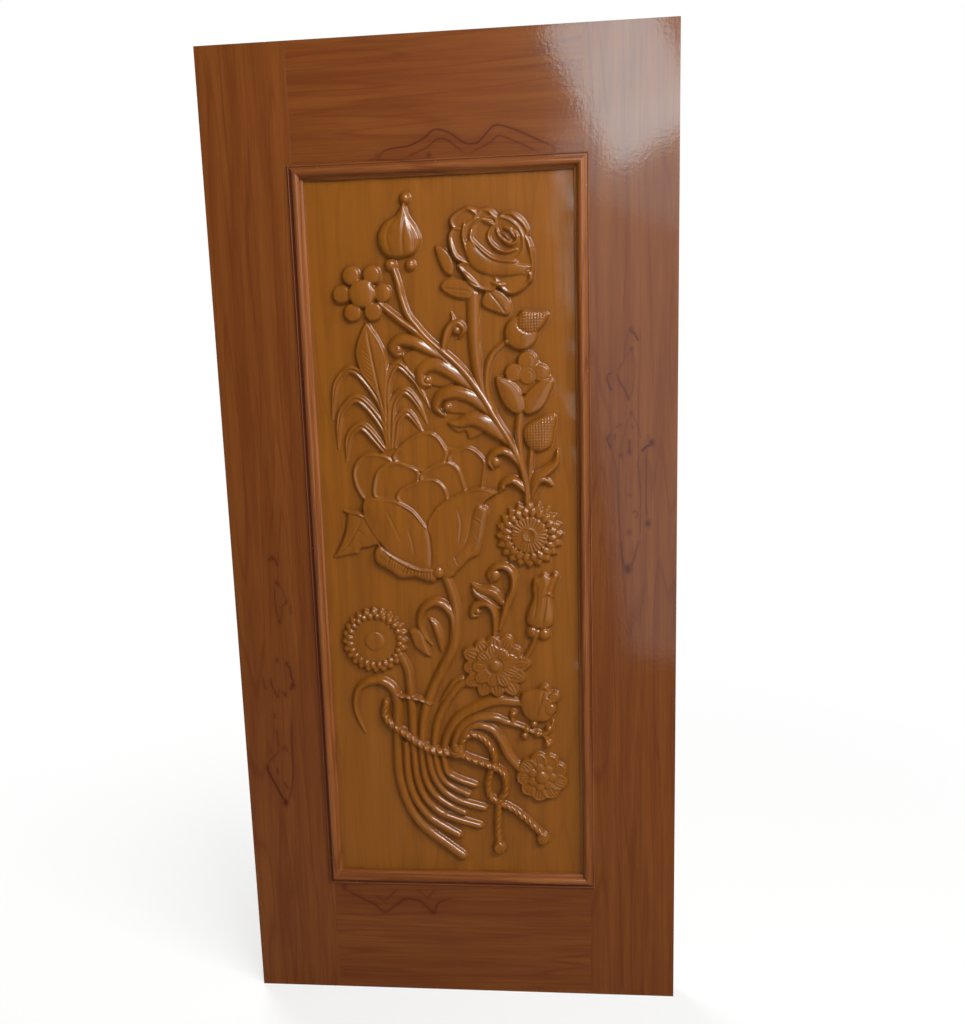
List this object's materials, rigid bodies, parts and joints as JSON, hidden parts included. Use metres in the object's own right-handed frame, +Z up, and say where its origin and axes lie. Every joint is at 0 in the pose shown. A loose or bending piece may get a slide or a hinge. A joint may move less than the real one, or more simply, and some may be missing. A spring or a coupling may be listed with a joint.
{
  "type": "carved panel door",
  "caption": "Wooden door leaf with a stile-and-rail frame, a bolection moulding and one tall panel carved in relief with a tied bouquet of flowers.",
  "frame": {"origin": "middle of the foot of the leaf, half way through its thickness", "axes": "+Z up along the leaf's height, X across its width, the carved face looks along -Y"},
  "size_m": [0.914, 0.052, 1.981],
  "materials": {
    "frame_wood": "red-brown stain under gloss lacquer",
    "panel_wood": "golden-brown stain under gloss lacquer, darker in the recesses",
    "moulding_wood": "red-brown stain under gloss lacquer",
    "wedge_wood": "bare end grain",
    "pin_steel": "plain wire"
  },
  "bodies": {
    "root": {"stile_left": "frame_wood", "stile_right": "frame_wood", "rail_top": "frame_wood", "rail_bottom": "frame_wood", "carved_panel": "panel_wood", "moulding_front_top": "moulding_wood", "moulding_front_bottom": "moulding_wood", "moulding_front_left": "moulding_wood", "moulding_front_right": "moulding_wood", "moulding_back_top": "moulding_wood", "moulding_back_bottom": "moulding_wood", "moulding_back_left": "moulding_wood", "moulding_back_right": "moulding_wood", "tenon_wedges": "wedge_wood", "pins_front": "pin_steel", "pins_back": "pin_steel"}
  },
  "joints": []
}
